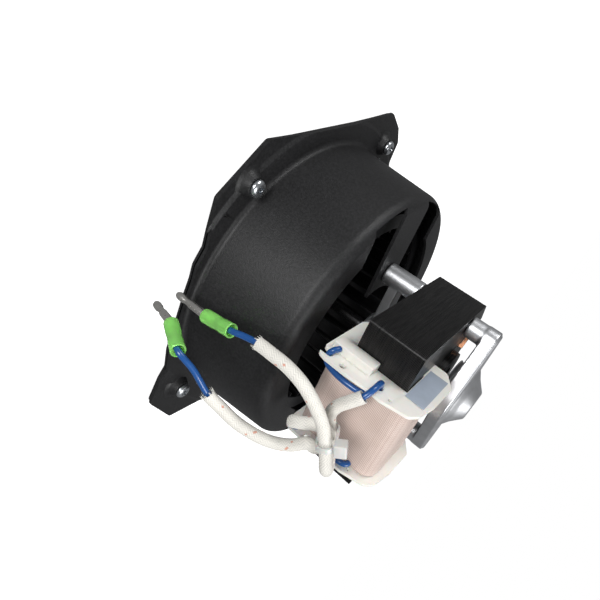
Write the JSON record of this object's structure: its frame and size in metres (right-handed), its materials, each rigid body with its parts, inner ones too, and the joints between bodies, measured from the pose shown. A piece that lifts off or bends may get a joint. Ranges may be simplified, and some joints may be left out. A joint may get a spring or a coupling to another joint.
{
  "type": "blower motor wheel",
  "caption": "Centrifugal blower with a C-frame shaded-pole motor on a deep-drawn drum housing, a bladed wheel inside it and two sleeved leads.",
  "frame": {"origin": "on the shaft's axis at the underside of the back plate", "axes": "+Z along the shaft from the plate to the motor; the coil is on the motor's -Y side; X along the coil's axis"},
  "size_m": [0.1784, 0.1988, 0.121],
  "materials": {
    "powder_black": "fine-textured black powder coat",
    "zinc": "zinc plated",
    "cast_aluminium": "die cast, as cast",
    "lamination": "blackened laminated steel",
    "copper": "bare copper",
    "sintered_bronze": "sintered bronze",
    "steel": "ground steel",
    "wheel_black": "thin black paint",
    "bobbin_ivory": "moulded ivory plastic",
    "nylon": "natural nylon",
    "coil_tape": "woven pinkish coil tape",
    "label_grey": "plain grey label",
    "wire_blue": "deep blue insulation",
    "braid": "off-white braided sleeve",
    "insulator_green": "translucent green plastic",
    "tin": "tinned brass",
    "tie_white": "natural nylon tie"
  },
  "bodies": {
    "frame": {"housing": "powder_black", "back_plate": "powder_black", "flange_screw_1": "zinc", "flange_screw_2": "zinc", "flange_screw_3": "zinc", "flange_screw_4": "zinc", "front_bracket": "cast_aluminium", "rear_bracket": "cast_aluminium", "front_bearing": "sintered_bronze", "rear_bearing": "sintered_bronze", "front_bearing_clip": "steel", "rear_bearing_clip": "steel", "stator_stack": "lamination", "shading_ring_1": "copper", "shading_ring_2": "copper", "coil_core": "lamination", "bobbin": "bobbin_ivory", "winding": "coil_tape", "label": "label_grey", "through_bolt_1": "zinc", "through_bolt_2": "zinc", "lead_a_wire": "wire_blue", "lead_b_wire": "wire_blue", "lead_a_sleeve": "braid", "lead_b_sleeve": "braid", "insulator_a": "insulator_green", "insulator_b": "insulator_green", "bullet_a": "tin", "bullet_b": "tin", "coil_jumper_a": "wire_blue", "coil_jumper_b": "wire_blue", "cable_tie": "tie_white"},
    "rotor": {"rotor_core": "lamination", "shaft": "steel", "thrust_washer_front": "nylon", "thrust_washer_rear": "nylon", "wheel": "wheel_black", "wheel_disc": "wheel_black", "wheel_hub": "zinc", "hub_set_screw": "steel", "hub_rivet_1": "zinc", "hub_rivet_2": "zinc", "hub_rivet_3": "zinc"}
  },
  "joints": [
    {"name": "wheel_spin", "type": "hinge", "parent": "frame", "child": "rotor", "pos_m": [0, 0, 0.086], "axis": [0, 0, 1], "continuous": true}
  ]
}
